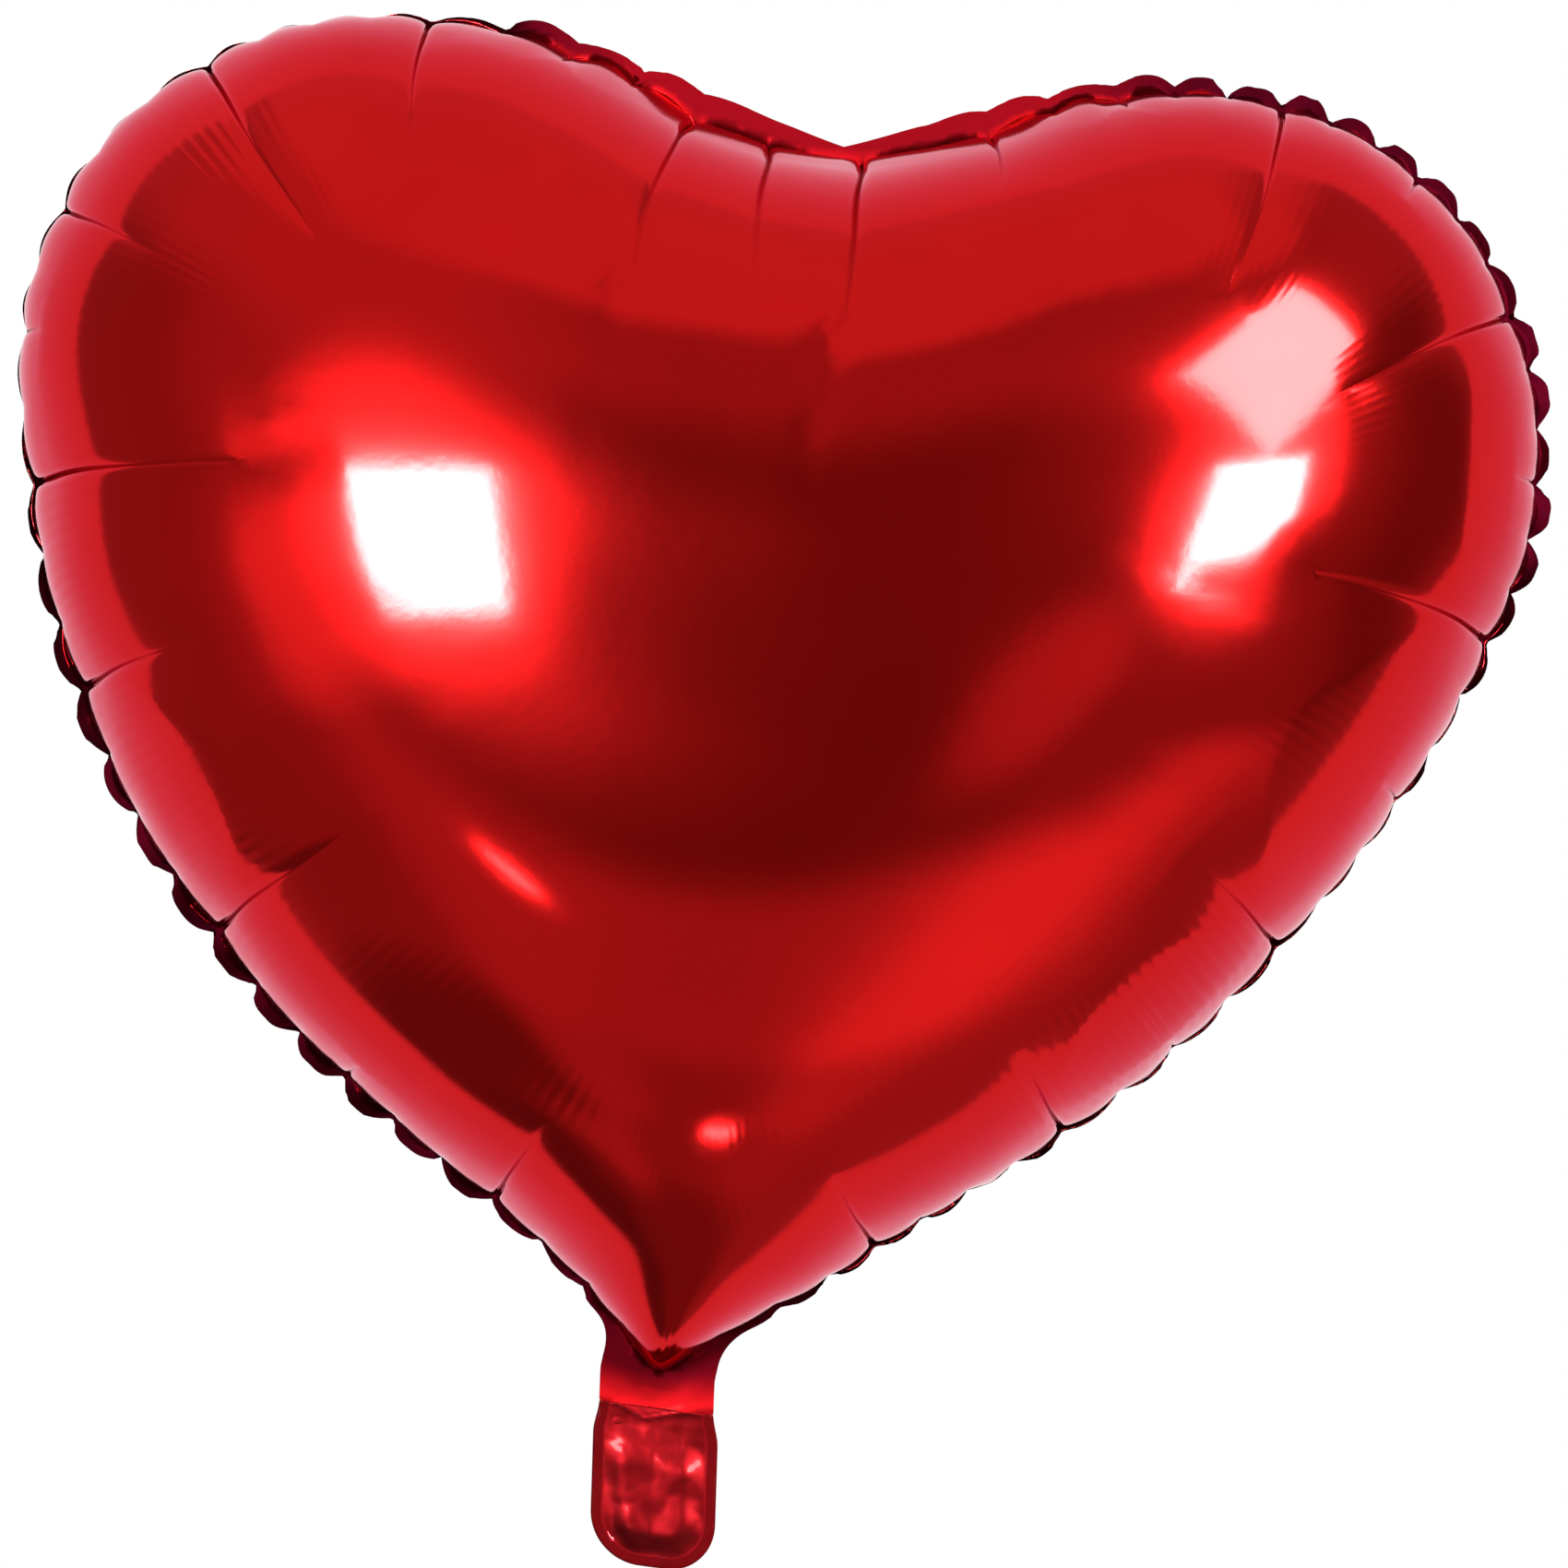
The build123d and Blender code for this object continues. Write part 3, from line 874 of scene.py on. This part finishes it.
class Finish(Nodes):
    """A node material."""

    def __init__(self, name):
        self.material = bpy.data.materials.new(name)
        self.material.use_nodes = True
        super().__init__(self.material.node_tree)
        self.surface = self.tree.nodes["Principled BSDF"]
        self.place = self.node("ShaderNodeTexCoord").outputs["Object"]

    def give(self, name, value):
        self.feed(value, self.surface.inputs[name])

    def noise(self, scale, detail, roughness=0.5):
        made = self.node("ShaderNodeTexNoise")
        self.feed(self.place, made.inputs["Vector"])
        self.feed(scale, made.inputs["Scale"])
        self.feed(detail, made.inputs["Detail"])
        self.feed(roughness, made.inputs["Roughness"])
        return made.outputs["Fac"]

    def drift(self, scale, detail, a, b):
        """A soft drift over the object from one colour to another, and its strength."""
        cloud = self.ramp(self.noise(scale, detail), 0.3, 0.7)
        return self.mix(cloud, a, b, "RGBA"), cloud

    def bump(self, height, distance, strength, under=None):
        made = self.node("ShaderNodeBump")
        self.feed(strength, made.inputs["Strength"])
        self.feed(distance, made.inputs["Distance"])
        self.feed(height, made.inputs["Height"])
        if under is not None:
            self.feed(under, made.inputs["Normal"])
        return made.outputs["Normal"]


# colour and edge tint of the film where the painted shade is full
SHADED_FILM = (0.012, 0.0002, 0.0014)
SHEEN, SHADED_SHEEN = (1.0, 0.62, 0.74), (0.08, 0.004, 0.012)
PRESSED_ROUGHNESS = 0.45
SEAL_BEGIN, CREASE_SHADE_SPAN = (-0.0012, -0.0002), (0.08, 1.0)


def foil_material(name, lacquer, haze, crinkle):
    """Red metallised film: clear red lacquer over metal, a little hazy, painted shade in creases and
    flange.
    """
    finish = Finish(name)
    split = finish.node("ShaderNodeSeparateXYZ")
    finish.feed(finish.node("ShaderNodeUVMap", uv_map="film").outputs["UV"], split.inputs[0])
    crease_shade = finish.node("ShaderNodeAttribute", attribute_name="crease_shade").outputs["Fac"]
    seal = finish.ramp(split.outputs[1], *SEAL_BEGIN, 1.0, 0.0)
    # painted shade: the film turns dark, loses its coat and gets rougher where the shade mask is strong
    shaded = finish.ramp(crease_shade, *CREASE_SHADE_SPAN)
    red, _ = finish.drift(22.0, 2.0, *(tuple(share * c for c in lacquer) for share in (0.97, 1.03)))
    finish.give("Base Color", finish.mix(shaded, red, SHADED_FILM, "RGBA"))
    finish.give("Specular Tint", finish.mix(shaded, SHEEN, SHADED_SHEEN, "RGBA"))
    finish.give("Metallic", 1.0)
    cloud = finish.ramp(finish.noise(14.0, 1.0), 0.35, 0.7, haze, haze + 0.012)
    pressed = finish.math("MULTIPLY", finish.math("MAXIMUM", seal, shaded), PRESSED_ROUGHNESS)
    finish.give("Roughness", finish.math("ADD", cloud, pressed))
    finish.give("Coat Weight", finish.ramp(shaded, 0.0, 1.0, 0.05, 0.0))
    finish.give("Coat Roughness", 0.12)
    finish.give("Coat IOR", 1.5)
    fine = finish.bump(finish.noise(420.0, 3.0, 0.55), crinkle, 0.7)
    finish.give("Normal", finish.bump(finish.noise(120.0, 2.0), crinkle * 3, 0.5, fine))
    return finish.material


def sealant_material():
    """The fused red sealant between the panels."""
    finish = Finish("red_sealant")
    finish.give("Base Color", finish.drift(60.0, 2.0, (0.30, 0.004, 0.008), (0.38, 0.006, 0.012))[0])
    finish.give("Metallic", 0.5)
    finish.give("Roughness", 0.32)
    return finish.material


def clear_material():
    """Clear self-sealing valve film."""
    finish = Finish("clear_film")
    colour, cloud = finish.drift(150.0, 3.0, (0.86, 0.88, 0.90), (0.93, 0.94, 0.95))
    finish.give("Base Color", colour)
    finish.give("Roughness", finish.ramp(cloud, 0.0, 1.0, 0.18, 0.30))
    finish.give("Alpha", 0.35)
    finish.give("IOR", 1.49)
    return finish.material


def floor_material():
    finish = Finish("pale_floor")
    finish.give("Base Color", finish.drift(3.0, 2.0, (0.80, 0.80, 0.80), (0.83, 0.83, 0.82))[0])
    finish.give("Roughness", 0.7)
    return finish.material


# ================================================================ stage, light and camera
# The studio as the foil sees it, by azimuth in degrees (0 is towards the camera, + to its right):
# how high the bright ceiling starts, as the sine of the elevation, and how bright the upper and
# lower walls, the floor and the two parts further under the balloon are.
CEILING_EDGE = (
    (-180, 0.79), (-60, 0.73), (-30, 0.64), (-8, 0.66), (10, 0.80), (45, 0.86), (70, 0.94),
    (108, 0.95), (130, 0.88), (180, 0.80),
)
UPPER_LIGHT = (
    (-180, 0.95), (-120, 0.85), (-98, 0.60), (-60, 0.68), (-20, 0.64), (0, 0.46), (60, 0.48),
    (180, 0.50),
)
WALL_LIGHT = (
    (-180, 0.46), (-72, 0.39), (-50, 0.52), (-28, 0.34), (-3, 0.19), (14, 0.25), (38, 0.36),
    (58, 0.34), (80, 0.22), (100, 0.40), (180, 0.50),
)
FLOOR_LIGHT = (
    (-180, 0.60), (-110, 0.50), (-80, 0.37), (-50, 0.38), (-30, 0.58), (0, 0.53), (22, 0.82),
    (38, 1.18), (50, 1.00), (68, 0.56), (88, 0.42), (110, 0.75), (180, 0.90),
)
DEEP_LIGHT = (
    (-180, 0.19), (-50, 0.20), (-30, 0.52), (-8, 0.38), (10, 0.40), (42, 0.70), (64, 0.52),
    (180, 0.48),
)
LOW_LIGHT = (
    (-180, 0.17), (-110, 0.15), (-70, 0.29), (-42, 0.53), (-20, 0.38), (10, 0.42), (40, 0.50),
    (90, 0.43), (180, 0.50),
)
CEILING_LIGHT = 0.86
BACKDROP_LIGHT = 1.0
BOTTOM_LIGHT = 0.25
# Where these parts meet: on the walls by height over the ceiling's edge, and below by how far down
# a direction points. The backdrop's edge is by how far back it points.
UPPER_BAND, CEILING_BAND = (-0.44, -0.20), (-0.035, 0.05)
FLOOR_BAND, DEEP_BAND, LOW_BAND, BOTTOM_BAND = (0.25, 0.42), (0.70, 0.80), (0.86, 0.91), (0.955, 0.99)
BACKDROP_BAND, BACKDROP_TURN = (0.16, 0.21), 0.03
# soft glows on the walls, some of them round a lamp: azimuth, elevation, half width, strength
HALOS = ((-25, 5, 25, 2.2), (-43, -6, 20, 0.7), (38, 14, 21, 2.8), (40, 30, 22, 1.7), (19, -4, 12, 0.35))


def towards(azimuth, elevation):
    turn, rise = math.radians(azimuth), math.radians(elevation)
    return math.sin(turn) * math.cos(rise), -math.cos(turn) * math.cos(rise), math.sin(rise)


def build_world():
    world = bpy.data.worlds.new("studio")
    bpy.context.scene.world = world
    world.use_nodes = True
    world.node_tree.nodes.clear()
    sky = Nodes(world.node_tree)
    view = sky.node("ShaderNodeTexCoord").outputs["Generated"]
    split = sky.node("ShaderNodeSeparateXYZ")
    sky.feed(view, split.inputs[0])

    def table(rows):
        """A table's value in the direction looked at."""
        node = sky.node("ShaderNodeFloatCurve")
        curve = node.mapping.curves[0]
        for azimuth, value in rows[1:-1]:
            curve.points.new((azimuth + 180) / 360, value)
        curve.points[0].location = (0, rows[0][1])
        curve.points[-1].location = (1, rows[-1][1])
        for point in curve.points:
            point.handle_type = "AUTO_CLAMPED"
        node.mapping.update()
        sky.feed(turn, node.inputs["Value"])
        return node.outputs[0]

    x, y, z = split.outputs
    azimuth = sky.math("ARCTAN2", x, sky.math("MULTIPLY", y, -1.0))
    turn = sky.math("MULTIPLY_ADD", azimuth, 0.5 / math.pi, 0.5)
    over = sky.math("SUBTRACT", z, table(CEILING_EDGE))
    under = sky.math("MULTIPLY", z, -1.0)
    room = sky.mix(sky.ramp(over, *UPPER_BAND), table(WALL_LIGHT), table(UPPER_LIGHT))
    room = sky.mix(sky.ramp(over, *CEILING_BAND), room, CEILING_LIGHT)
    for band, rows in ((FLOOR_BAND, FLOOR_LIGHT), (DEEP_BAND, DEEP_LIGHT), (LOW_BAND, LOW_LIGHT)):
        room = sky.mix(sky.ramp(under, *band), room, table(rows))
    room = sky.mix(sky.ramp(under, *BOTTOM_BAND), room, BOTTOM_LIGHT)
    for azimuth_at, elevation, wide, strength in HALOS:
        facing = sky.node("ShaderNodeVectorMath", operation="DOT_PRODUCT")
        sky.feed(view, facing.inputs[0])
        facing.inputs[1].default_value = towards(azimuth_at, elevation)
        glow = sky.ramp(facing.outputs["Value"], math.cos(math.radians(wide)), 1.0)
        glow = sky.math("MULTIPLY", sky.math("POWER", glow, 3.0), strength)
        room = sky.math("ADD", room, glow)
    edge = sky.math("ADD", y, sky.math("MULTIPLY", x, BACKDROP_TURN))
    room = sky.mix(sky.ramp(edge, *BACKDROP_BAND), room, BACKDROP_LIGHT)
    light = sky.node("ShaderNodeBackground")
    path = sky.node("ShaderNodeLightPath")
    sky.feed(sky.mix(path.outputs["Is Camera Ray"], room, 1.0), light.inputs["Color"])
    sky.feed(light.outputs[0], sky.node("ShaderNodeOutputWorld").inputs[0])


# Each lamp: name, the place on the foil that mirrors it, azimuth, elevation, distance, size, power
# and roll.
LAMPS = (
    ("left_softbox", (-0.075, -0.088, 0.230), -22, 2.5, 2.6, (0.80, 0.50), 200, 14),
    ("right_softbox", (0.085, -0.088, 0.235), 37.5, 11.5, 2.6, (0.66, 0.60), 190, 0),
    ("high_softbox", (0.095, -0.080, 0.270), 41, 34, 2.6, (1.20, 0.95), 220, 40),
    ("low_lamp", (-0.01, -0.07, 0.07), 11, -64, 1.6, (0.17, 0.06), 0.9, 0),
    ("small_lamp", (-0.06, -0.088, 0.13), -23, -27, 1.6, (0.13, 0.035), 0.45, -35),
)


def softbox(name, target, azimuth, elevation, distance, size, power, roll):
    """A flat studio lamp in the direction that its highlight on the foil looks towards."""
    away = Vector(towards(azimuth, elevation))
    data = bpy.data.lights.new(name, "AREA")
    data.shape = "RECTANGLE"
    data.size, data.size_y = size
    data.energy = power
    lamp = bpy.data.objects.new(name, data)
    bpy.context.scene.collection.objects.link(lamp)
    lamp.location = Vector(target) + away * distance
    turned = away.to_track_quat("Z", "Y") @ Quaternion((0, 0, 1), math.radians(roll))
    lamp.rotation_euler = turned.to_euler()


CAMERA_DISTANCE = 1.6
SENSOR = 36
VIEW_WIDTH = 0.3944                  # width of the picture at the seam plane
VIEW_CENTRE = (0.0060, 0.0, 0.1513)
ROLL = -7.5
FLOOR_Z = -0.55
FLOOR_HALF = 1.6


def build_camera():
    data = bpy.data.cameras.new("camera")
    data.sensor_width = SENSOR
    data.lens = SENSOR * CAMERA_DISTANCE / VIEW_WIDTH
    camera = bpy.data.objects.new("camera", data)
    camera.location = (VIEW_CENTRE[0], -CAMERA_DISTANCE, VIEW_CENTRE[2])
    camera.rotation_euler = (math.radians(90), math.radians(ROLL), 0)
    bpy.context.scene.collection.objects.link(camera)
    bpy.context.scene.camera = camera


def build_floor():
    corners = np.array([(-1, -1), (1, -1), (1, 1), (-1, 1)]) * FLOOR_HALF / MM
    floor = make_mesh("floor", np.c_[corners, np.full(4, FLOOR_Z / MM)], [(0, 1, 2, 3)])
    floor.data.materials.append(floor_material())
    floor.visible_glossy = False


# ================================================================ the pieces
foil = foil_material("red_foil", lacquer=(0.60, 0.0067, 0.0068), haze=0.095, crinkle=0.000012)
# the tail is the same film, its colour darkened as painted shade
tail_foil_shaded = foil_material("red_tail_foil", lacquer=(0.07, 0.0014, 0.0022), haze=0.42, crinkle=0.00004)
sealant, clear = sealant_material(), clear_material()
front_foil, back_foil, seam_band = balloon()
tail_front, tail_back = tail_layer("tail_front", 1, False), tail_layer("tail_back", -1, True)
tail_band = tail_seal()
films = {}
for film_name in ("front_valve_root", "back_valve_root", "front_valve_inlet", "back_valve_inlet"):
    films[film_name] = film_strip(film_name, film_name + "_film")

for piece in (front_foil, back_foil, tail_front, tail_back):
    piece.data.materials.append(tail_foil_shaded if "tail" in piece.name else foil)
for piece in (seam_band, tail_band):
    piece.data.materials.append(sealant)
for film_name, piece in films.items():
    piece.data.materials.append(clear)
    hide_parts(film_name + "_film")
for node_name in ("front_valve_flap_film", "back_valve_flap_film"):
    node = bpy.data.objects[node_name]
    node.data.materials.clear()
    node.data.materials.append(clear)

for piece in (front_foil, back_foil, seam_band, *films.values()):
    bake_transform(piece)
for piece in (tail_front, tail_back, tail_band):
    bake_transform(piece)
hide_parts("front_panel")
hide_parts("back_panel")
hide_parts("perimeter_weld")
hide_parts("tail_front_layer", "tail_end_front_layer")
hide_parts("tail_back_layer", "tail_end_back_layer")
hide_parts("tail_side_welds", "tail_end_weld")

build_camera()
build_world()
build_floor()
bpy.context.scene.view_settings.view_transform = "Standard"
for lamp in LAMPS:
    softbox(*lamp)
